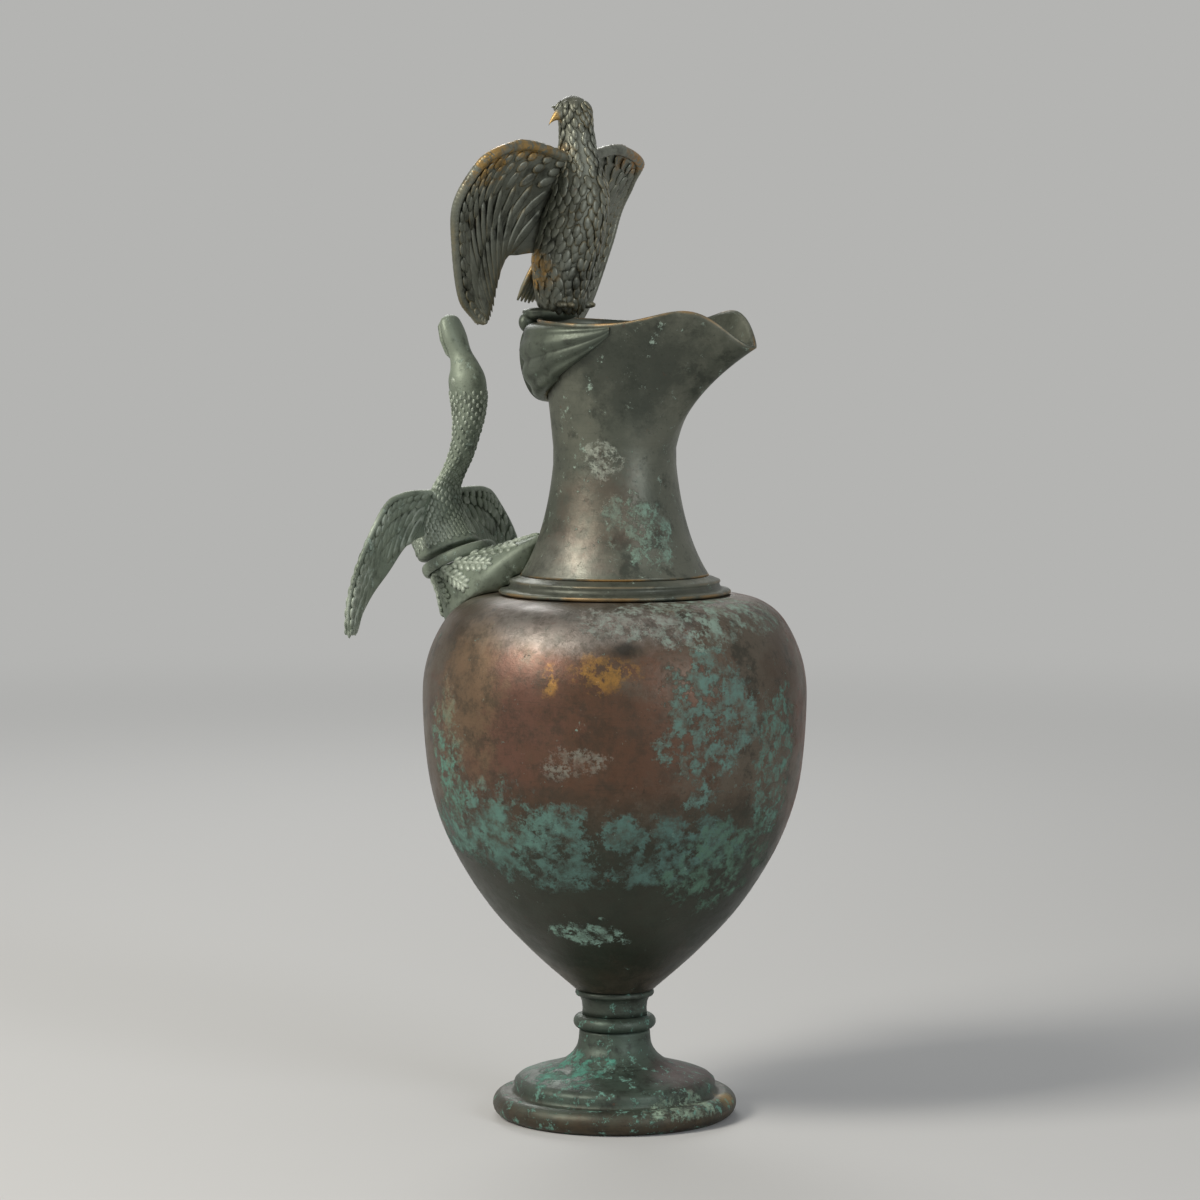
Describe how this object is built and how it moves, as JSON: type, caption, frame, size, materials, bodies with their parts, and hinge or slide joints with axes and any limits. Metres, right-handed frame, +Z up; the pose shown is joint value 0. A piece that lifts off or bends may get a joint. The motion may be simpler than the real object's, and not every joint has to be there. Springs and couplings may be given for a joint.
{
  "type": "ewer",
  "caption": "tall bronze ewer on a trumpet foot, with a drawn-out spout, an eagle standing on the back of the rim and a swan rising from a calyx on the shoulder",
  "frame": {"origin": "middle of the bounding box at the surface that the foot stands on", "axes": "+Z up along the vessel's axis, +X towards the spout, handle towards -X"},
  "size_m": [0.217, 0.1924, 0.5113],
  "materials": {
    "belly_bronze": "polished bronze under brown and green patina",
    "neck_bronze": "turned bronze with grey-green patina",
    "foot_bronze": "turned bronze with green patina",
    "saddle_bronze": "cast bronze with worn green patina",
    "eagle_bronze": "cast and chased bronze, dark olive, worn to gold on high spots",
    "swan_bronze": "cast bronze with pale verdigris"
  },
  "bodies": {
    "root": {"belly": "belly_bronze", "shoulder_collar": "neck_bronze", "neck_spout": "neck_bronze", "stem_cup": "foot_bronze", "stem_knop": "foot_bronze", "foot": "foot_bronze", "rim_saddle": "saddle_bronze", "eagle_perch": "saddle_bronze", "eagle_body": "eagle_bronze", "eagle_right_wing": "eagle_bronze", "eagle_left_wing": "eagle_bronze", "handle_calyx": "swan_bronze", "calyx_ring": "swan_bronze", "swan_body": "swan_bronze", "swan_right_wing": "swan_bronze", "swan_left_wing": "swan_bronze"}
  },
  "joints": []
}
